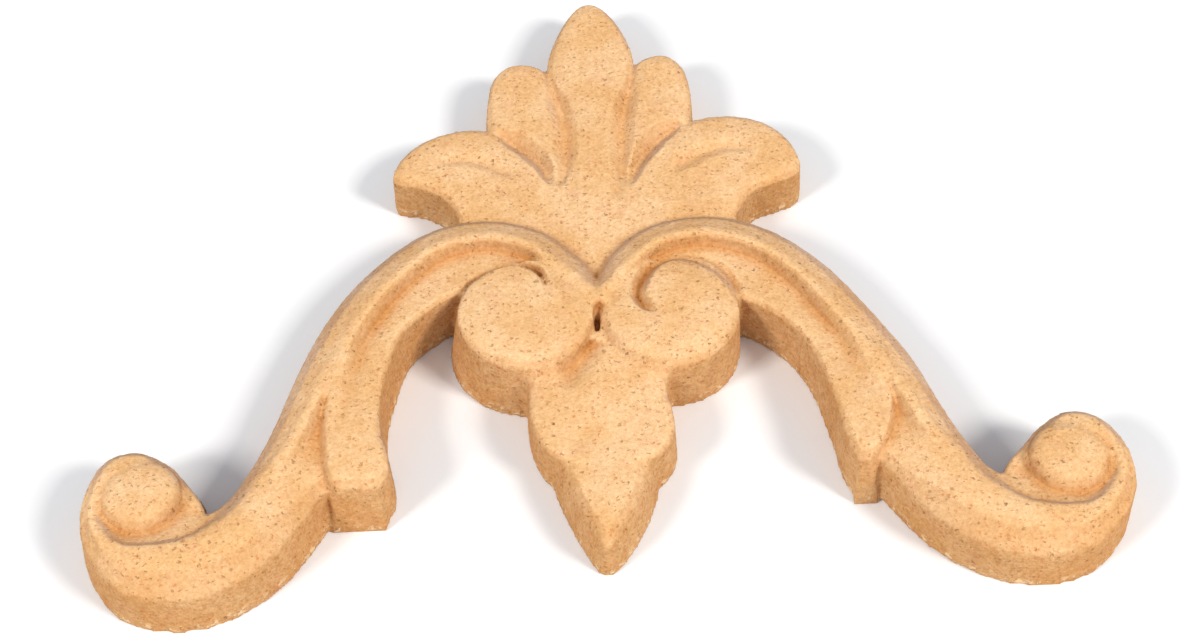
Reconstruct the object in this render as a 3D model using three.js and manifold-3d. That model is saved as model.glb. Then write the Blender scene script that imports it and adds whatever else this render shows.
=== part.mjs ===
// A pressed wood-fibre applique, modelled as it lies on its flat back. One piece: two mirrored
// S-scroll arms that curl into volutes beside the middle axis, a five-lobed palmette above
// them and a pointed drop leaf below. X runs across the piece, Y up its middle axis, and Z out
// of the flat back. The origin is on the back, on the axis, level with the two volutes.
import * as THREE from "three";
import { mergeVertices } from "three/addons/utils/BufferGeometryUtils.js";
import Module from "manifold-3d";

// Driving dimensions, in millimetres and degrees. Heights are above the flat back.
const overallWidth = 91; // from one lower scroll to the other
const rimHeight = 6.5; // raised rim of the arms
const armEdgeHeight = 5.7; // inner edge of the arms
const bevelFootHeight = 4.5; // where the broad outer bevel meets the outer wall
const bevelWidth = 3.4;
const rimWidth = 0.7;
const channelDepth = 1.2; // below the rim
const voluteHeight = 6.6;
const scrollEyeHeight = 6.5;
const scrollFloorHeight = 5; // round a lower scroll's eye
const palmetteHeight = 4.9;
const dropHeight = 5.1;
const outerDraft = 6; // the walls lean in from the back
const innerDraft = 1.5;
const tipDraft = 10;

// Plan points are in ninety-firsts of the overall width, so the forms keep their proportions.
const unit = overallWidth / 91;
const point = ([x, y]) => new THREE.Vector3(x * unit, y * unit, 0);
const mirrored = (rows) => rows.map((row) => row.map((value, i) => (i % 2 ? value : -value)));
const tangentOf = (degrees) => Math.tan(THREE.MathUtils.degToRad(degrees));
const { lerp, smoothstep } = THREE.MathUtils;

const wasm = await Module();
wasm.setup();

// A smooth value along a member, from keys given at equal steps.
function keyed(keys) {
  return (share) => {
    const place = Math.min(share, 1) * (keys.length - 1);
    const index = Math.min(Math.floor(place), keys.length - 2);
    return lerp(keys[index], keys[index + 1], smoothstep(place - index, 0, 1));
  };
}

// Triangles over a flat closed loop of points.
function capOf(loop) {
  const normal = new THREE.Vector3();
  loop.forEach((p, i) => normal.add(new THREE.Vector3().crossVectors(p, loop[(i + 1) % loop.length])));
  const turn = new THREE.Quaternion().setFromUnitVectors(normal.normalize(), new THREE.Vector3(0, 0, 1));
  const flat = loop.map((p) => p.clone().applyQuaternion(turn));
  return THREE.ShapeUtils.triangulateShape(flat.map((p) => new THREE.Vector2(p.x, p.y)), []);
}

// A solid from a stack of closed loops with as many points each.
function stack(loops) {
  const count = loops[0].length;
  const triangles = [];
  for (let k = 0; k + 1 < loops.length; k++)
    for (let i = 0; i < count; i++) {
      const a = k * count + i;
      const b = k * count + ((i + 1) % count);
      triangles.push([a, b, a + count], [b, b + count, a + count]);
    }
  const last = (loops.length - 1) * count;
  capOf(loops[0]).forEach(([a, b, c]) => triangles.push([a, c, b]));
  capOf(loops.at(-1)).forEach(([a, b, c]) => triangles.push([last + a, last + b, last + c]));
  const geometry = new THREE.BufferGeometry().setFromPoints(loops.flat());
  geometry.setIndex(triangles.flat());
  return solidOf(geometry);
}

function solidOf(geometry) {
  const merged = mergeVertices(geometry, 1e-4);
  const index = merged.index.array;
  const kept = [];
  for (let i = 0; i < index.length; i += 3) {
    const [a, b, c] = index.slice(i, i + 3);
    if (a !== b && b !== c && a !== c) kept.push(a, b, c);
  }
  const mesh = (triVerts) =>
    new wasm.Mesh({ numProp: 3, vertProperties: merged.attributes.position.array, triVerts });
  const solid = new wasm.Manifold(mesh(new Uint32Array(kept)));
  return solid.volume() > 0 ? solid : new wasm.Manifold(mesh(new Uint32Array(kept).reverse()));
}

// A limb is lofted through rows of a point on its outer edge and a point on its inner edge. Its
// section climbs from the outer wall over a broad bevel to a rim, drops into a channel and runs
// on to the inner edge. Every profile entry gives one value for each row.
function limb({ rows, profile, draft, endDraft = 0, steps = 35 }) {
  const outer = new THREE.CatmullRomCurve3(rows.map(([x, y]) => point([x, y])));
  const inner = new THREE.CatmullRomCurve3(rows.map(([, , x, y]) => point([x, y])));
  const loops = [];
  for (let step = 0; step <= steps; step++) {
    const share = step / steps;
    const start = outer.getPoint(share);
    const end = inner.getPoint(share);
    const across = end.clone().sub(start);
    const width = across.length();
    across.normalize();
    const forward = new THREE.Vector3(-across.y, across.x, 0).multiplyScalar(Math.sign(end.x));
    const foot = bevelFootHeight + profile.foot(share);
    const shelfEnd = foot + profile.climb(share);
    const rim = rimHeight - profile.rim(share);
    const edge = profile.edge(share);
    const shelf = profile.shelf(share);
    const top = width - edge;
    const ridge = Math.min(shelf + bevelWidth * profile.bevel(share), top - 0.3);
    const rimInner = Math.min(ridge + rimWidth, top - 0.2);
    const floorStart = Math.min(rimInner + profile.wall(share), top - 0.1);
    const floor = rim - channelDepth * profile.channel(share);
    const low = Math.min(rim, armEdgeHeight + profile.low(share));
    const section = [
      [-foot * tangentOf(outerDraft), 0],
      [0, foot - 0.4],
      [0.2, foot],
      [shelf + 0.25, shelfEnd],
      [lerp(shelf + 0.25, ridge, 0.4), lerp(shelfEnd, rim, 0.6)],
      [ridge, rim],
      [rimInner, rim],
      [floorStart, floor],
      [lerp(floorStart, top, 0.5), lerp(floor, low, 0.5) + profile.crown(share)],
      [top, low],
      [width, low - edge * 0.8],
      [width + low * tangentOf(lerp(innerDraft, draft, share)), 0],
    ];
    const lean = share === 1 ? tangentOf(endDraft) : 0;
    const place = ([along, z]) =>
      start.clone().addScaledVector(across, along).addScaledVector(forward, (rim - z) * lean).setZ(z);
    loops.push(section.map(place));
  }
  return stack(loops);
}

// How the sections change, in keys at equal steps along a limb: bevel and channel are shares of
// their named sizes, foot and low are added to their heights, and rim is taken off its own. A
// shelf, as wide as given, climbs from the foot to the bevel where the limb goes round an eye.
// The upper limb curls over the volute and ends in the arm's own leaf tip.
const upperProfile = {
  bevel: keyed([0.3, 0.75, 1, 1, 1, 1, 1, 1, 0.95, 0.5, 0.3, 0.3, 0.3, 0.25]),
  foot: keyed([0.3, 0.1, 0, 0, 0, 0, 0, 0, 0, 0.1, 0.1, 0.1, 0.1, 0.1]),
  rim: keyed([0.1, 0, 0, 0, 0, 0, 0, 0, 0.1, 0.2, 0.3, 0.3, 0.4, 0.9]),
  wall: keyed([0.5, 0.5, 0.5, 0.5, 0.5, 0.5, 0.6, 0.8, 1, 1, 0.8, 0.5, 0.4, 0.3]),
  channel: keyed([0.1, 0.3, 0.8, 1, 1, 1, 1, 0.9, 0.6, 0.3, 0, 0, 0, 0]),
  crown: keyed([0, 0, 0, 0, 0, 0, 0.05, 0.1, 0.1, 0.1, 0.05, 0, 0, 0]),
  low: keyed([0.5, 0.3, 0, 0, 0, 0, 0, 0.1, 0.2, 0.3, 0.4, 0.4, 0.3, -0.2]),
  edge: keyed([0.4, 0.4, 0.4, 0.4, 0.4, 0.4, 0.4, 0.4, 0.4, 0.4, 0.5, 0.5, 0.5, 0.4]),
  shelf: keyed([0, 0]),
  climb: keyed([0, 0]),
};
// The lower limb comes out from under the upper one and curls up round its scroll's eye.
const lowerProfile = {
  bevel: keyed([0.95, 0.95, 0.9, 0.8, 0.65, 0.43, 0.3, 0.15, 0.1, 0.1, 0.1, 0.1, 0.1, 0.1]),
  foot: keyed([-0.3, -0.1, 0, 0.1, 0.2, 0.5, 0.5, 0.4, 0.5, 1.1, 1.6, 1.6, 1.4, 0.8]),
  rim: keyed([0.8, 0.4, 0.15, 0.15, 0.2, 0.2, 0.3, 0.35, 0.4, 0.4, 0.4, 0.5, 0.8, 1.2]),
  wall: keyed([0.6, 0.6, 0.6, 0.8, 2, 2, 1, 1, 0.6, 0.5, 0.4, 0.4, 0.4, 0.4]),
  channel: keyed([0.6, 0.8, 0.8, 0.7, 0.35, 0.2, 0.1, 0.1, 0.1, 0.1, 0.1, 0.1, 0.1, 0.1]),
  crown: keyed([0, 0, 0, 0, 0.1, 0.15, 0.15, 0.15, 0.1, 0, 0, 0, 0, 0]),
  low: keyed([-0.7, -0.5, -0.4, -0.4, -0.3, -0.3, -0.3, -0.2, 0.1, 0.1, 0.1, 0, -0.3, -0.6]),
  edge: keyed([0.4, 0.4, 0.4, 0.5, 0.8, 1.2, 1.3, 1.2, 0.9, 0.8, 0.7, 0.6, 0.5, 0.5]),
  shelf: keyed([0, 0, 0, 0, 0.1, 0.9, 2.9, 2.2, 1.5, 1.2, 0.6, 0.3, 0.2, 0.2]),
  climb: keyed([0, 0, 0, 0, 0, 0.3, 0.6, 0.9, 1, 0.5, 0.1, 0, 0, 0]),
};

// A leaf, lobe or dome: a closed outline that rises with draft and then closes over a spine.
// rise lists [share of the way in to the spine, height] from the edge of the top inwards, and
// a third number at a spine point lifts the top there.
function leaf({ outline, spine, rise, draft = 3, count = 32 }) {
  const edge = new THREE.CatmullRomCurve3(outline.map(point), true).getPoints(count).slice(0, count);
  const ridge = new THREE.CatmullRomCurve3(spine.map(point)).getPoints(24);
  const lift = keyed(spine.map(([, , z = 0]) => z));
  const nearest = edge.map((p) => {
    const distances = ridge.map((q) => q.distanceTo(p));
    return distances.indexOf(Math.min(...distances));
  });
  const area = edge.reduce((sum, p, i) => sum + p.clone().cross(edge[(i + 1) % count]).z, 0);
  const base = edge.map((p, i) => {
    const along = edge[(i + 1) % count].clone().sub(edge[(i + count - 1) % count]).normalize();
    const outwards = new THREE.Vector3(along.y, -along.x, 0).multiplyScalar(Math.sign(area));
    return p.clone().addScaledVector(outwards, rise[0][1] * tangentOf(draft));
  });
  const ring = ([share, height]) =>
    edge.map((p, i) => {
      const k = nearest[i];
      return p.clone().lerp(ridge[k], share * 0.92).setZ(height + share * lift(k / 24));
    });
  return stack([base, ...rise.map(ring)]);
}

// A round eye or volute, leaning in with draft, its top domed from the edge to full height.
function disc({ centre: [x, y], radius, height, draft, dome, count = 32 }) {
  const middle = point([x, y]);
  const r = radius * unit;
  const ring = (reach, z) =>
    Array.from({ length: count }, (_, i) => {
      const turn = (i / count) * 2 * Math.PI;
      return new THREE.Vector3(Math.cos(turn), Math.sin(turn), 0).multiplyScalar(reach).add(middle).setZ(z);
    });
  const crown = [0.12, 0.3, 0.55, 0.9].map((turn) => turn * (Math.PI / 2));
  return stack([
    ring(r + (height - dome) * tangentOf(draft), 0),
    ring(r, height - dome),
    ...crown.map((turn) => ring(r * Math.cos(turn), height - dome * (1 - Math.sin(turn)) ** 1.5)),
  ]);
}

// A groove: cut along a path with sloping sides, its floor at depths in keys below a level.
function groove({ path, level, depth, bottom = 0.25, slope = 0.8, steps = 14 }) {
  const curve = new THREE.CatmullRomCurve3(path.map(point));
  const depthAt = keyed(depth);
  const top = level + 1.5;
  const loops = [];
  for (let step = 0; step <= steps; step++) {
    const share = step / steps;
    const along = curve.getTangent(share);
    const across = new THREE.Vector3(-along.y, along.x, 0);
    const low = level - depthAt(share);
    const half = bottom / 2;
    const high = half + slope * (top - low);
    const section = [[-half, low], [half, low], [high, top], [-high, top]];
    const place = ([offset, z]) => curve.getPoint(share).addScaledVector(across, offset).setZ(z);
    loops.push(section.map(place));
  }
  return stack(loops);
}

// How the tops of the flat leaves round over, from their edge to their spine.
function padRise(height, drop) {
  return [[0, height - drop], [0.15, height - drop * 0.3], [0.45, height], [1, height]];
}

const rightSide = {
  upperLimb: [
    [-1.4, -1.6, 2.4, -4.4],
    [-0.2, 2.2, 4.0, -1.6],
    [1.7, 5.4, 5.2, -0.2],
    [5.0, 7.8, 7.0, 0.8],
    [10.3, 8.7, 9.6, 0.4],
    [15.7, 7.0, 12.2, -1.9],
    [20.4, 3.0, 15.2, -3.8],
    [24.0, -2.2, 17.6, -6.4],
    [26.3, -6.8, 19.2, -9.8],
    [26.2, -11.2, 19.9, -12.8],
    [26.0, -14.4, 20.5, -15.8],
    [25.5, -17.3, 20.8, -18.2],
    [24.4, -19.4, 21.2, -19.6],
    [23.1, -20.7, 21.7, -20.6],
  ],
  lowerLimb: [
    [22.4, 0.2, 18, -3.5],
    [25.4, -4.5, 20.4, -8.5],
    [27.9, -9.3, 21, -13.5],
    [29.6, -14.2, 22, -17],
    [31.7, -19.2, 24.4, -21.6],
    [33.8, -22.2, 28.4, -26.9],
    [36.9, -22.4, 34.3, -30.1],
    [39.8, -23.6, 40.5, -29.5],
    [41.8, -22.5, 44.6, -24.8],
    [42.1, -20.4, 44.8, -20.1],
    [41.0, -18.9, 42.8, -16.9],
    [39.7, -18.6, 40.2, -16.2],
    [38.3, -18.9, 37.5, -17.7],
    [37.3, -20.1, 35.8, -19.6],
  ],
  scrollDraft: 3,
  volute: { centre: [6.4, -3.9], radius: 6.3, height: voluteHeight, draft: 2, dome: 1 },
  scrollEye: { centre: [39.6, -21.1], radius: 3.5, height: scrollEyeHeight, draft: 14, dome: 1.1 },
  scrollFloor: [[42, -17.2], [40, -16.3], [38.2, -17.2], [36.7, -18.5], [35.5, -19.8], [34.5, -20.9],
    [33.9, -22.2], [35.6, -24.6], [40, -25.4], [43, -23.4], [43.2, -19.4]],
  sideLeaf: [[3.4, 12.3], [4.3, 15], [6.4, 18.6], [9.8, 21], [13.8, 21.5], [17.6, 19.9], [19.7, 16.6],
    [19.8, 13.7], [17.4, 12.4], [15.3, 11.6], [13.9, 9.6], [12, 6.4], [7, 4.5], [3, 7]],
  smallLeaf: [[2.6, 9], [2.6, 18], [4.0, 26], [4.7, 29.5], [7.4, 30.6], [9.2, 29], [9.9, 26.1],
    [9.7, 20.9], [7.5, 15.4], [5, 9]],
  grooves: [
    { path: [[12.9, -2.9], [12.6, -0.9], [11.3, 1.6], [9, 2.9], [6.9, 2.6], [5.2, 1.7], [4, 0],
      [3.5, -1.9], [4.2, -3.6], [5.7, -4.6]],
      level: voluteHeight,
      depth: [1.1, 1.4, 1.4, 1.3, 1.2, 1.2, 1.2, 1.1, 0.7, -0.2],
      slope: 0.75,
      steps: 18 },
    { path: [[9, 20.7], [7.2, 19.5], [5.2, 17.2], [3.9, 14.5], [3.3, 11.4]],
      level: palmetteHeight,
      depth: [0.4, 1, 1, 0.7, -0.1],
      slope: 1.1 },
    { path: [[4.2, 27.4], [3.7, 25], [3.1, 22], [2.8, 18], [2.7, 14], [3.2, 11.4]],
      level: palmetteHeight,
      depth: [0.2, 0.8, 0.9, 0.9, 0.6, -0.1],
      slope: 1.3 },
    { path: [[16.5, 15.8], [14, 17], [11.4, 16.8], [9, 15.4], [7, 13]],
      level: palmetteHeight,
      depth: [-0.1, 0.3, 0.4, 0.4, -0.1],
      slope: 2.5 },
  ],
};
const leftSide = {
  upperLimb: [
    [-1.2, -1.8, 2.6, -4.4],
    [0.2, 2.2, 4.0, -1.6],
    [2.1, 5.0, 5.2, -0.4],
    [5.0, 7.6, 7.0, 0.8],
    [10.3, 9.2, 9.6, 0.6],
    [16.0, 8.0, 12.6, -0.4],
    [21.3, 3.4, 15.6, -2.4],
    [24.6, -1.4, 17.8, -4.8],
    [26.3, -6.0, 19.0, -8.8],
    [25.7, -10.2, 19.6, -12.0],
    [25.2, -15.0, 19.5, -15.4],
    [24.9, -18.4, 18.8, -18.2],
    [24.5, -20.6, 18.7, -20.4],
    [23.5, -21.5, 19.4, -21.4],
  ],
  lowerLimb: [
    [23.4, 0.4, 18.6, -3],
    [25.7, -3.6, 20.6, -8],
    [27.6, -8.8, 20.5, -13],
    [29.1, -14.0, 21.6, -17.2],
    [31.4, -19.6, 24.4, -21.6],
    [34.0, -23.0, 28.6, -27.7],
    [37.0, -22.8, 34.6, -31.0],
    [40.0, -23.9, 41.0, -30.0],
    [41.9, -22.8, 44.5, -25.0],
    [42.3, -20.9, 44.7, -20.6],
    [41.2, -19.1, 43.2, -17.3],
    [39.8, -18.8, 40.6, -16.6],
    [38.4, -19.1, 37.8, -17.9],
    [37.4, -20.5, 36, -19.9],
  ],
  scrollDraft: 10,
  volute: { centre: [6.7, -3.6], radius: 6.2, height: voluteHeight, draft: 10, dome: 0.5 },
  scrollEye: { centre: [39.8, -21.3], radius: 3.5, height: scrollEyeHeight, draft: 14, dome: 1.1 },
  scrollFloor: [[42, -17.6], [40, -16.7], [38.2, -17.6], [36.8, -18.9], [35.7, -20.3], [34.8, -21.6],
    [34.3, -23], [35.6, -25], [40, -26], [43, -24], [43.4, -20]],
  sideLeaf: [[4, 12.4], [4.9, 15.2], [6.7, 18.2], [10.2, 20.7], [13.8, 20.8], [17.4, 19], [19.3, 16.2],
    [19.3, 14.2], [16.8, 13.5], [14.8, 12.3], [13.4, 10.4], [12, 7], [7, 4.5], [3, 7]],
  smallLeaf: [[2.2, 9], [2.4, 18], [3.8, 26], [4.8, 29.2], [7.8, 29.9], [9.7, 28.2], [10.3, 25.2],
    [10.3, 20.6], [8, 15], [5, 9]],
  grooves: [
    { path: [[12.9, -1], [11.8, 0.5], [10.5, 1.5], [9, 2.2], [7.6, 2.3], [6.3, 1.8], [5.4, 1], [4.9, -0.1],
      [4.8, -2]],
      level: voluteHeight,
      depth: [1.1, 1.4, 1.4, 1.3, 1.2, 1.2, 1.1, 0.7, -0.2],
      slope: 0.3,
      steps: 16 },
    { path: [[9.5, 20.2], [7.7, 18.9], [5.8, 17], [4.6, 14.8], [4, 11.8]],
      level: palmetteHeight,
      depth: [0.4, 1, 1, 0.7, -0.1],
      slope: 1.1 },
    { path: [[4.1, 27.4], [3.6, 25], [2.9, 22], [2.7, 18], [2.9, 14.4], [3.8, 11.8]],
      level: palmetteHeight,
      depth: [0.2, 0.8, 0.9, 0.9, 0.6, -0.1],
      slope: 1.3 },
    { path: [[16, 15.8], [13.6, 16.6], [11.2, 16.4], [9, 15.2], [7, 13]],
      level: palmetteHeight,
      depth: [-0.1, 0.25, 0.3, 0.3, -0.1],
      slope: 3 },
  ],
};

function membersOf(part, sign) {
  const turn = (rows) => (sign > 0 ? rows : mirrored(rows));
  const turnedDisc = (settings) => disc({ ...settings, centre: turn([settings.centre])[0] });
  const solids = [
    limb({
      rows: turn(part.upperLimb),
      profile: upperProfile,
      draft: innerDraft,
      endDraft: tipDraft,
    }),
    limb({ rows: turn(part.lowerLimb), profile: lowerProfile, draft: part.scrollDraft }),
    turnedDisc(part.volute),
    turnedDisc(part.scrollEye),
    leaf({
      outline: turn(part.scrollFloor),
      spine: turn([[37, -22.5], [40, -21.5]]),
      rise: [[0, scrollFloorHeight - 0.3], [0.1, scrollFloorHeight], [1, scrollFloorHeight]],
    }),
    leaf({
      outline: turn(part.sideLeaf),
      spine: turn([[6, 9], [10, 14.5], [15.5, 16]]),
      rise: padRise(palmetteHeight, 0.5),
      draft: 2,
    }),
    leaf({
      outline: turn(part.smallLeaf),
      spine: turn([[4, 12], [5.6, 20], [7.2, 26.6]]),
      rise: padRise(palmetteHeight, 0.8),
    }),
  ];
  const grooves = part.grooves.map((settings) => groove({ ...settings, path: turn(settings.path) }));
  return { solids, grooves };
}

const centreLeaf = leaf({
  outline: [[-3, 4], [-2.4, 12], [-3.2, 22], [-4.3, 28.9], [-3.9, 31.9], [-2.4, 35.9], [-1, 38],
    [0.1, 38.5], [1.3, 37.9], [2.7, 35.9], [4.2, 31.9], [4.4, 29.2], [3.2, 22], [2.4, 12], [3, 4]],
  spine: [[0, 8], [0, 20], [0.1, 34]],
  rise: padRise(palmetteHeight, 0.8),
  count: 48,
});
const stem = leaf({
  outline: [[-6, 8], [-3, 12], [0, 14], [3, 12], [6, 8], [6, 0], [0, -4], [-6, 0]],
  spine: [[0, 2], [0, 8]],
  rise: [[0, palmetteHeight - 0.5], [0.3, palmetteHeight], [1, palmetteHeight]],
  count: 24,
});
const dropBody = leaf({
  outline: [[0, 0], [6, -6], [5.7, -11], [6.1, -14.5], [6.1, -16.4], [5.5, -17.9], [4, -19.2], [0, -20],
    [-4.2, -18.8], [-5.3, -17.7], [-6.2, -15.6], [-6.6, -13], [-6.6, -10], [-6, -6]],
  spine: [[-0.4, -5, 0.5], [-0.3, -8, 0.6], [-0.1, -11, 0.5], [0, -14, 0.3], [0, -17, 0]],
  rise: [[0, dropHeight - 0.3], [0.08, dropHeight - 0.05], [0.35, dropHeight], [1, dropHeight]],
});
const dropTip = leaf({
  outline: [[0, -12], [3.2, -14], [4.2, -18.6], [3.7, -21], [2.6, -23.7], [1.1, -26.2], [0.1, -27.3],
    [-0.4, -27.3], [-1.4, -25.9], [-2.8, -22.8], [-3.8, -20.2], [-4.2, -18.2], [-3.2, -14]],
  spine: [[-0.1, -15], [-0.1, -22.5]],
  rise: [[0, dropHeight - 1.5], [0.13, dropHeight - 0.7], [0.34, dropHeight - 0.2], [1, dropHeight]],
  draft: 8,
  count: 40,
});

// The narrow slot where the two volutes stand side by side.
const slot = groove({
  path: [[-0.25, -3.2], [-0.3, -4], [-0.3, -4.9], [-0.35, -5.8]],
  level: voluteHeight,
  depth: [0.8, 2.2, 2.2, 1.4],
  bottom: 0.5,
  slope: 0.05,
  steps: 6,
});
// The drop's left half falls away from its ridge, most of all beside the volute.
const dropFacet = groove({
  path: [[-1.8, -6.2], [-2.6, -8.6], [-3, -10.6], [-3.2, -12.6]],
  level: dropHeight + 0.3,
  depth: [0.9, 0.8, 0.55, -0.1],
  slope: 2.2,
  steps: 8,
});
const drop = dropBody.add(dropTip).subtract(dropFacet);

const sides = [membersOf(rightSide, 1), membersOf(leftSide, -1)];
const joined = [stem, centreLeaf, drop, ...sides.flatMap(({ solids }) => solids)]
  .reduce((whole, member) => whole.add(member));
const carved = [slot, ...sides.flatMap(({ grooves }) => grooves)]
  .reduce((whole, cut) => whole.subtract(cut), joined);

function geometryOf(solid) {
  const mesh = solid.getMesh();
  const geometry = new THREE.BufferGeometry();
  geometry.setAttribute("position", new THREE.BufferAttribute(new Float32Array(mesh.vertProperties), 3));
  geometry.setIndex(new THREE.BufferAttribute(mesh.triVerts, 1));
  geometry.computeVertexNormals();
  return geometry;
}

const applique = new THREE.Mesh(
  geometryOf(carved),
  new THREE.MeshStandardMaterial({ color: 0xe8b785, roughness: 0.92, metalness: 0 }),
);
applique.name = "applique";
const part = new THREE.Group();
part.add(applique);
export default part;
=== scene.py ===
import math

import bmesh
import bpy
import numpy as np
from mathutils import Matrix, Vector, noise


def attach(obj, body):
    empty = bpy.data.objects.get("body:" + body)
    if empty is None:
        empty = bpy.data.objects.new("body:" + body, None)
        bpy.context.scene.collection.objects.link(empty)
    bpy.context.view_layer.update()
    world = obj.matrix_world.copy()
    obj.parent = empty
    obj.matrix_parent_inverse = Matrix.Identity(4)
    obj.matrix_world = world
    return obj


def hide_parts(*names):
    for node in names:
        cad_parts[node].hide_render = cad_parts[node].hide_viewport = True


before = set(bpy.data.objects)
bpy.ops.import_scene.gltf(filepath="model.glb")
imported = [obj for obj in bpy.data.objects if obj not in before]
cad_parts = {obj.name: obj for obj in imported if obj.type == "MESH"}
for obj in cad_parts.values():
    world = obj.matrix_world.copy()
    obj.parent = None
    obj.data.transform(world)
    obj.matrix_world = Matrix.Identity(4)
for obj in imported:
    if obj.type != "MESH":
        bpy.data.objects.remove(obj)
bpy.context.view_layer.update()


# Wraps a shader socket, so that material maths reads as plain Python.
class Wire:
    def __init__(self, tree, socket=None):
        self.tree = tree
        self.socket = socket

    def node(self, kind, settings=None, sockets=None, out=0):
        made = self.tree.nodes.new(kind)
        for name, value in (settings or {}).items():
            setattr(made, name, value)
        for name, value in (sockets or {}).items():
            if isinstance(value, Wire):
                self.tree.links.new(value.socket, made.inputs[name])
            else:
                made.inputs[name].default_value = value
        return Wire(self.tree, made.outputs[out] if made.outputs else None)

    def maths(self, operation, first, second):
        return self.node("ShaderNodeMath", {"operation": operation}, {0: first, 1: second})

    def __add__(self, other): return self.maths("ADD", self, other)
    def __radd__(self, other): return self.maths("ADD", other, self)
    def __sub__(self, other): return self.maths("SUBTRACT", self, other)
    def __rsub__(self, other): return self.maths("SUBTRACT", other, self)
    def __mul__(self, other): return self.maths("MULTIPLY", self, other)
    def __rmul__(self, other): return self.maths("MULTIPLY", other, self)
    def __truediv__(self, other): return self.maths("DIVIDE", self, other)
    def __rtruediv__(self, other): return self.maths("DIVIDE", other, self)

    # 0 to 1 as the value goes from low to high
    def ramp(self, low, high):
        return self.node("ShaderNodeMapRange", {"interpolation_type": "SMOOTHSTEP"},
                         {"Value": self, "From Min": low, "From Max": high})

    # one colour where the value is 0, another where it is 1
    def colours(self, first, second):
        return self.node("ShaderNodeMix", {"data_type": "RGBA"}, {0: self, 6: first, 7: second}, out=2)


def newMaterial(name):
    material = bpy.data.materials.new(name)
    material.use_nodes = True
    tree = material.node_tree
    tree.nodes.clear()
    return material, Wire(tree)


def paint(red, green, blue):  # a colour given in screen values, 0 to 255
    return tuple((value / 255) ** 2.2 for value in (red, green, blue)) + (1.0,)


woodFibre = {
    "light": paint(228, 184, 135),
    "warm": paint(220, 170, 115),
    "pink": paint(219, 167, 123),
    # painted shade: orange-brown in the hollows, channels and creases
    "hollowShade": paint(190, 123, 58),
    "crestHighlight": paint(242, 204, 152),  # painted highlight along the crests and rims
    "farShadeTint": paint(230, 232, 254),  # painted shade: greyer and bluer on the slopes up to the palmette, which face away from the lamps
    "nearShadeTint": paint(236, 230, 224),  # painted shade: darker on the slopes down to the near edges
    # painted shade: the walls darker than the tops
    "wallShadeTint": paint(216, 204, 188),
    "shadeTint": (0.7, 1.0, 1.45),  # how much a dark grain takes from red, green and blue
    "speck": paint(118, 66, 36),
    "rust": paint(180, 104, 54),
    "fleck": paint(232, 200, 156),
    # how strongly each colour covers what is below it
    "pinkShare": 0.5,
    "hollowShare": 0.9,
    "crestShare": 0.4,
    "rustShare": 0.55,
    "speckShare": 0.42,
    "knotShare": 0.6,
    "crumbShare": 0.6,
    # the upward part of the normal at which a wall or slope is in full, and where it ends
    "wallFacing": (0.25, 0.75),
    "farFacing": (0.8, 0.97),
    "nearFacing": (0.84, 0.985),
    # the normal's part along Y: for slopes that face the palmette, and for all but the near ones
    "turnedFar": (0.0, 0.3),
    "notNear": (-0.2, 0.0),
    "mottleSize": 0.006,  # metres, as all sizes here
    "mottleRange": (0.35, 0.65),
    "patchSize": 0.0021,
    "patchRange": (0.5, 0.75),
    "grainSize": 0.00032,
    "coarseSize": 0.000768,
    "grainShade": (0.9, 0.4),  # contrast on the tops, and what the walls add
    "coarseShade": (0.4, 0.4),
    # spacing, biggest in cells, share of the cells, how much longer along X
    "specks": (0.00042, 0.3, 0.55, 1.4),
    "dust": (0.000294, 0.4, 0.85, 1.9),
    "knots": (0.001344, 0.11, 0.8, 1.0),
    "speckEdge": (0.55, 1.2),
    "raggedness": 0.00063,  # of the specks' outlines
    "crumbFoot": (0.0001, 0.0004),  # the loose crumbs start above the floor
    "crumbReach": (0.00052, 0.0013),  # and go this far up the walls
    # shares of the noises at which crumbs start and are in full
    "crumbGrain": (0.6, 0.7),
    "crumbCoarse": (0.45, 0.6),
    "crumbCover": 0.5,  # of the few away from the foot
    "footCoarse": (0.52, 0.6),
    # what each layer adds to the bump's height
    "grainRelief": 0.7,
    "coarseRelief": (0.5, 0.9),  # on the tops, and what the walls add
    "crumbRelief": 0.6,
    "speckRelief": -0.4,
    "knotRelief": -0.5,
    "grainBump": 0.00011,
    "roughness": 0.92,
    "roughnessSpread": 0.12,
    "specular": 0.25,
}


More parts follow.
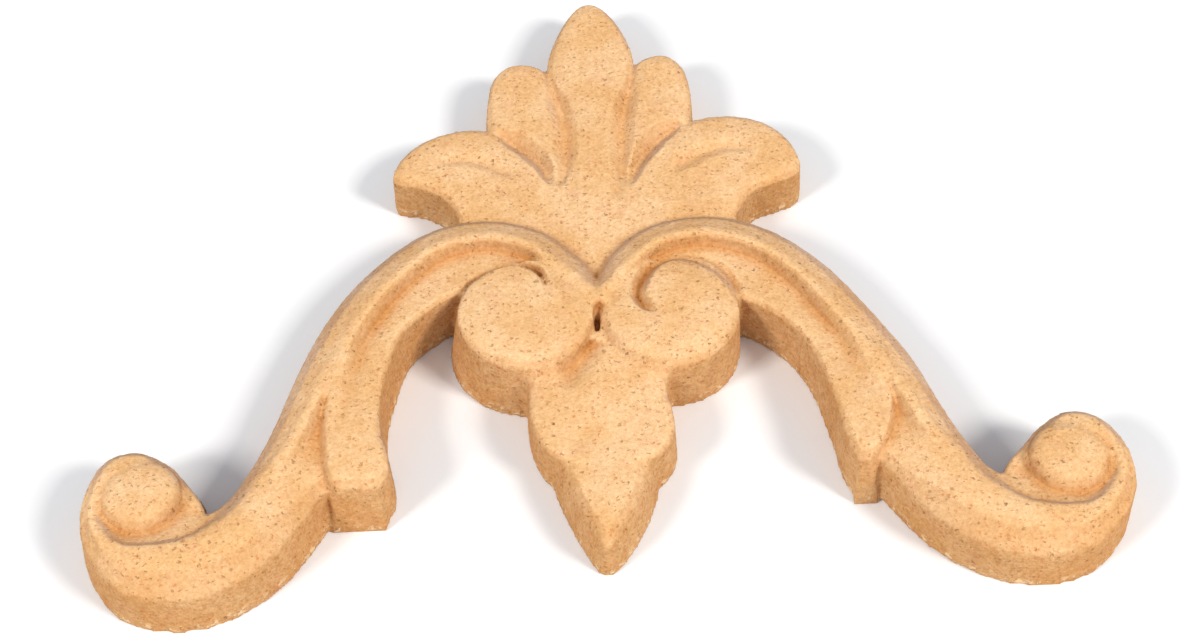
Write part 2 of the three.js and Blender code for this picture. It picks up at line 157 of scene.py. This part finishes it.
def woodFibreMaterial(look):
    material, new = newMaterial("pressed wood fibre")
    place = new.node("ShaderNodeTexCoord", out=3)
    facing = {0: new.node("ShaderNodeNewGeometry", out=1)}
    upward = new.node("ShaderNodeSeparateXYZ", sockets=facing, out=2)
    along = new.node("ShaderNodeSeparateXYZ", sockets=facing, out=1)
    height = new.node("ShaderNodeSeparateXYZ", sockets={0: place}, out=2)
    hollowShade = new.node("ShaderNodeAttribute", {"attribute_name": "hollowShade"}, out=2)
    crestHighlight = new.node("ShaderNodeAttribute", {"attribute_name": "crestHighlight"}, out=2)
    notNear = along.ramp(*look["notNear"])
    wall = 1 - upward.ramp(*look["wallFacing"])
    # where shade is painted: slopes that face the palmette, away from the lamps, and slopes down to the
    # near edges
    farSlopeShade = (1 - upward.ramp(*look["farFacing"])) * (1 - hollowShade) * along.ramp(*look["turnedFar"])
    nearSlopeShade = (1 - upward.ramp(*look["nearFacing"])) * (1 - notNear) * (1 - wall)

    def fuzz(size, detail=3.0, rough=0.6, out=0):
        return new.node("ShaderNodeTexNoise", sockets={
            "Vector": place, "Scale": 1 / size, "Detail": detail, "Roughness": rough}, out=out)

    def vector(operation, sockets):
        return new.node("ShaderNodeVectorMath", {"operation": operation}, sockets)

    def multiply(first, second, amount=1.0):
        return new.node("ShaderNodeMix", {"data_type": "RGBA", "blend_type": "MULTIPLY"}, {
            0: amount, 6: first, 7: second}, out=2)

    mottle = fuzz(look["mottleSize"], 2.0)
    patches = fuzz(look["patchSize"])
    grain = fuzz(look["grainSize"], rough=0.75)
    coarse = fuzz(look["coarseSize"], rough=0.65)
    drift = vector("SCALE", {0: fuzz(look["grainSize"], 2.0, out=1), "Scale": look["raggedness"]})
    torn = vector("ADD", {0: place, 1: drift})

    # Ragged specks of darker fibre, one in each cell of a fine honeycomb and of every size up to
    # the biggest.
    def specks(spacing, biggest, share, longer):
        across = vector("MULTIPLY", {0: torn, 1: (1 / longer, 1, 1)})
        cells = {"Vector": across, "Scale": 1 / spacing}
        distance = new.node("ShaderNodeTexVoronoi", sockets=cells)
        ownColour = new.node("ShaderNodeTexVoronoi", sockets=cells, out=1)
        chance = new.node("ShaderNodeSeparateColor", sockets={0: ownColour})
        size = (chance - (1 - share)).ramp(0.0, share) * biggest + 0.001
        return 1 - (distance / size).ramp(*look["speckEdge"])

    speck = specks(*look["specks"])
    dust = specks(*look["dust"])
    knots = specks(*look["knots"])

    colour = mottle.ramp(*look["mottleRange"]).colours(look["warm"], look["light"])
    colour = (patches.ramp(*look["patchRange"]) * look["pinkShare"]).colours(colour, look["pink"])
    # painted shade in the hollows
    colour = (hollowShade * look["hollowShare"]).colours(colour, look["hollowShade"])
    # painted shade on the far and the near slopes
    colour = multiply(colour, look["farShadeTint"], farSlopeShade)
    colour = multiply(colour, look["nearShadeTint"], nearSlopeShade)
    # painted shade on the walls
    colour = multiply(colour, look["wallShadeTint"], wall)
    # painted highlight on the crests, none on those facing the near side
    colour = (crestHighlight * notNear * look["crestShare"]).colours(colour, look["crestHighlight"])

    grainTop, grainWall = look["grainShade"]
    coarseTop, coarseWall = look["coarseShade"]
    shade = ((grain - 0.5) * (grainTop + wall * grainWall)
             + (coarse - 0.5) * (coarseTop + wall * coarseWall))
    shades = {channel: 1.0 + shade * share for channel, share in enumerate(look["shadeTint"])}
    colour = multiply(colour, new.node("ShaderNodeCombineColor", sockets=shades))
    colour = (dust * look["rustShare"]).colours(colour, look["rust"])
    colour = (speck * look["speckShare"]).colours(colour, look["speck"])
    colour = (knots * look["knotShare"]).colours(colour, look["speck"])

    # few crumbs all over the walls and many along the foot
    foot = height.ramp(*look["crumbFoot"]) * (1 - height.ramp(*look["crumbReach"]))
    fewCrumbs = grain.ramp(*look["crumbGrain"]) * coarse.ramp(*look["crumbCoarse"]) * look["crumbCover"]
    crumb = (fewCrumbs + coarse.ramp(*look["footCoarse"]) * foot) * wall
    colour = (crumb * look["crumbShare"]).colours(colour, look["fleck"])

    reliefTop, reliefWall = look["coarseRelief"]
    relief = (grain * look["grainRelief"] + coarse * (reliefTop + wall * reliefWall)
              + crumb * look["crumbRelief"] + speck * look["speckRelief"] + knots * look["knotRelief"])
    bump = new.node("ShaderNodeBump", sockets={
        "Strength": 1.0, "Distance": look["grainBump"], "Height": relief})
    shader = new.node("ShaderNodeBsdfPrincipled", sockets={
        "Base Color": colour,
        "Roughness": look["roughness"] + (grain - 0.5) * look["roughnessSpread"],
        "Normal": bump,
        "Specular IOR Level": look["specular"],
    })
    new.node("ShaderNodeOutputMaterial", sockets={"Surface": shader})
    return material


applique = {
    "spacing": 0.000245,  # between the points of the fine surface
    "backHeight": 0.000049,  # points below this are on the flat back
    "softening": 3,  # passes that round the facets and edges over
    "wornSoftening": 44,  # the same where the edges are worn
    "softenBack": -0.53,  # each pass steps back by this, so that the form doesn't shrink
    "wornBack": -0.25,  # less than that, so worn edges get rounder
    # where worn edges start and where they are in full: from the scroll's eye, then from the
    # middle axis, along Y and up
    "scrollEye": (0.0397, -0.0212),
    "clearOfEye": (0.0062, 0.0074),
    "wornScrolls": ((0.024, 0.027), (-0.019, -0.021)),
    "wornVolutes": ((0.0145, 0.0125), (-0.0065, -0.0085), (-0.0135, -0.0125)),
    "wornHeight": (0.001, 0.003),
    "hollowReach": 37,  # passes that tell a hollow from the form around it
    "hollowDepth": 0.00026,  # a hollow this deep takes the full painted shade
    "hollowHeight": (0.0015, 0.003),  # none at the foot
    "palmette": ((0.0051, 0.00495), (0, 0.001)),  # by Z and Y
    "palmettePaler": 0.55,  # how much weaker the painted shade in its hollows is
    "crestReach": 9,  # passes that tell a crest from the form around it
    "crestHeight": 0.00008,
    "crestStart": 0.3,
    "maskSoftening": 2,
    # the faint roughness of the surface: how high it is on tops and walls, and how wide
    "roughTop": 0.00003,
    "roughWall": 0.00005,
    "roughSize": 0.0004,
    "roughFoot": 0.2,  # weaker at the foot, for a clean line on the floor
    "wallFacing": (0.2, 0.8),
}


# Averages each point with its neighbours, and steps back after each pass unless back is 0.
def soften(points, edges, passes, back):
    count = np.bincount(edges.ravel(), minlength=len(points))[:, None]
    for step in range(passes * (2 if back else 1)):
        total = np.zeros_like(points)
        for axis in range(points.shape[1]):
            total[:, axis] = (np.bincount(edges[:, 0], points[edges[:, 1], axis], len(points))
                              + np.bincount(edges[:, 1], points[edges[:, 0], axis], len(points)))
        points = points + (total / count - points) * (back if back and step % 2 else 0.5)
    return points


# 0 to 1 as the value goes from start to stop, either way
def fade(value, start, stop):
    return np.clip((value - start) / (stop - start), 0, 1)


# The flat back needs no fine grid, so its faces become one, cut into few triangles.
def joinBack(mesh, onBack):
    form = bmesh.new()
    form.from_mesh(mesh)
    flat = [face for face in form.faces if all(onBack[corner.index] for corner in face.verts)]
    back = bmesh.ops.dissolve_faces(form, faces=flat, use_verts=True)["region"]
    bmesh.ops.triangulate(form, faces=back)
    form.to_mesh(mesh)
    form.free()


# A copy of the solid, cut up into an even fine grid.
def fineCopy(source, name, spacing):
    piece = source.copy()
    piece.data = source.data.copy()
    piece.name = name
    bpy.context.collection.objects.link(piece)
    remesh = piece.modifiers.new("fine surface", "REMESH")
    remesh.mode = "VOXEL"
    remesh.voxel_size = spacing
    evaluated = piece.evaluated_get(bpy.context.evaluated_depsgraph_get())
    mesh = bpy.data.meshes.new_from_object(evaluated)
    piece.modifiers.clear()
    piece.data = mesh
    return piece, mesh


def pointsAndEdges(mesh):
    points = np.empty(len(mesh.vertices) * 3)
    mesh.vertices.foreach_get("co", points)
    edges = np.empty(len(mesh.edges) * 2, dtype=np.int64)
    mesh.edges.foreach_get("vertices", edges)
    return points.reshape(-1, 3), edges.reshape(-1, 2)


# How worn each point is: the near edges of the lower scrolls, the volutes and the drop's top.
def wornShare(points, shape):
    side, along, height = np.abs(points[:, 0]), points[:, 1], points[:, 2]
    eyeX, eyeY = shape["scrollEye"]
    scrolls = fade(np.hypot(side - eyeX, along - eyeY), *shape["clearOfEye"])
    for place, limits in zip((side, along), shape["wornScrolls"]):
        scrolls *= fade(place, *limits)
    volutes = np.ones(len(points))
    for place, limits in zip((side, along, along), shape["wornVolutes"]):
        volutes *= fade(place, *limits)
    return np.maximum(scrolls, volutes) * fade(height, *shape["wornHeight"])


# How deep each point is in a hollow and how high on a crest, for the material's painted shade and
# painted highlight.
def hollowsAndCrests(points, edges, shape):
    wide = soften(points, edges, shape["hollowReach"], 0)
    near = soften(points, edges, shape["crestReach"], 0)
    hollowShade = np.clip((wide[:, 2] - points[:, 2]) / shape["hollowDepth"], 0, 1)
    crestHighlight = np.clip((points[:, 2] - near[:, 2]) / shape["crestHeight"] - shape["crestStart"], 0, 1)
    paler = shape["palmettePaler"]
    for axis, limits in zip((2, 1), shape["palmette"]):
        paler = paler * fade(points[:, axis], *limits)
    hollowShade *= (1 - paler) * fade(points[:, 2], *shape["hollowHeight"])
    return {"hollowShade": hollowShade, "crestHighlight": crestHighlight}


# Pushes each point in or out along its normal by a fine noise.
def roughen(points, normals, onBack, shape):
    size = shape["roughSize"]
    wall = 1 - fade(normals[:, 2], *shape["wallFacing"])
    rough = shape["roughTop"] + (shape["roughWall"] - shape["roughTop"]) * wall
    rough = rough * np.clip(points[:, 2] / size, shape["roughFoot"], 1)
    push = np.array([noise.fractal(Vector(place) / size, 1.0, 2.0, 2) for place in points])
    push = np.where(onBack, 0, np.clip(push, -1, 1) * rough)
    return points + normals * push[:, None]


def makeApplique(shape, material):
    piece, mesh = fineCopy(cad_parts["applique"], "carvedFace", shape["spacing"])
    points, edges = pointsAndEdges(mesh)
    onBack = points[:, 2] < shape["backHeight"]

    crisp = soften(points, edges, shape["softening"], shape["softenBack"])
    worn = soften(crisp, edges, shape["wornSoftening"], shape["wornBack"])
    points = crisp + (worn - crisp) * wornShare(crisp, shape)[:, None]
    points[onBack, 2] = 0
    points[:, 2] = np.maximum(points[:, 2], 0)
    masks = hollowsAndCrests(points, edges, shape)

    mesh.vertices.foreach_set("co", points.ravel())
    mesh.update()
    normals = np.array([vertex.normal for vertex in mesh.vertices])
    points = roughen(points, normals, onBack, shape)
    points[:, 2] = np.maximum(points[:, 2], 0)
    mesh.vertices.foreach_set("co", points.ravel())
    for name, mask in masks.items():
        values = soften(mask[:, None], edges, shape["maskSoftening"], 0)
        mesh.attributes.new(name, "FLOAT", "POINT").data.foreach_set("value", values.ravel())
    joinBack(mesh, onBack)
    mesh.materials.clear()
    mesh.materials.append(material)
    mesh.shade_smooth()
    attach(piece, "root")
    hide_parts("applique")
    triangles = sum(len(face.vertices) - 2 for face in mesh.polygons)
    print("applique", len(mesh.vertices), "points", triangles, "triangles")


makeApplique(applique, woodFibreMaterial(woodFibre))


studio = {
    "floorSize": 3.0,
    "floorDrop": 0.00002,  # just below the back
    "floorColour": (0.88, 0.875, 0.87, 1.0),
    "floorRoughness": 0.9,
    "ambient": (0.82, 0.89, 1.0, 1.0),
    "ambientStrength": 0.5,
    "lampColour": (1.0, 0.97, 0.93),
    # place, size, watts
    "lamps": [
        ((-0.80, -0.52, 0.74), 0.3, 8.9),
        ((0.80, -0.44, 0.74), 0.3, 10.9),
        ((0, -0.5, 0.2), 0.4, 0.25),
    ],
}


def makeStudio(look):
    material, new = newMaterial("pale board")
    shader = new.node("ShaderNodeBsdfPrincipled", sockets={
        "Base Color": look["floorColour"], "Roughness": look["floorRoughness"]})
    new.node("ShaderNodeOutputMaterial", sockets={"Surface": shader})
    half = look["floorSize"] / 2
    mesh = bpy.data.meshes.new("floor")
    corners = ((-half, -half), (half, -half), (half, half), (-half, half))
    mesh.from_pydata([(x, y, -look["floorDrop"]) for x, y in corners], [], [(0, 1, 2, 3)])
    mesh.materials.append(material)
    floor = bpy.data.objects.new("floor", mesh)
    bpy.context.collection.objects.link(floor)

    world = bpy.data.worlds.new("room light")
    world.use_nodes = True
    background = world.node_tree.nodes["Background"]
    background.inputs["Color"].default_value = look["ambient"]
    background.inputs["Strength"].default_value = look["ambientStrength"]
    bpy.context.scene.world = world

    for number, (place, size, power) in enumerate(look["lamps"]):
        light = bpy.data.lights.new(f"lamp {number + 1}", "AREA")
        light.energy = power
        light.size = size
        light.color = look["lampColour"]
        lamp = bpy.data.objects.new(light.name, light)
        lamp.location = place
        lamp.rotation_euler = (-Vector(place)).to_track_quat("-Z", "Y").to_euler()
        bpy.context.collection.objects.link(lamp)
    bpy.context.scene.view_settings.view_transform = "Standard"
    print("studio lit by", len(look["lamps"]), "lamps")


makeStudio(studio)


view = {
    "target": (0.0, 0.0, 0.0),
    "distance": 0.188,
    "lookDown": 52.0,  # degrees below level
    "roll": 2.35,
    "lens": 60.0,  # millimetres
    "frameWidth": 36.0,
    "clipStart": 0.005,
}


def makeCamera(look):
    down = math.radians(look["lookDown"])
    roll = math.radians(look["roll"])
    forward = Vector((0, math.cos(down), -math.sin(down)))
    across = Vector((1, 0, 0))
    over = across.cross(forward)
    right = across * math.cos(roll) - over * math.sin(roll)
    up = over * math.cos(roll) + across * math.sin(roll)
    data = bpy.data.cameras.new("camera")
    data.sensor_width = look["frameWidth"]
    data.sensor_fit = "HORIZONTAL"
    data.lens = look["lens"]
    data.clip_start = look["clipStart"]
    camera = bpy.data.objects.new("camera", data)
    turn = Matrix((right, up, -forward)).transposed().to_4x4()
    place = Vector(look["target"]) - forward * look["distance"]
    camera.matrix_world = Matrix.Translation(place) @ turn
    bpy.context.collection.objects.link(camera)
    bpy.context.scene.camera = camera


makeCamera(view)
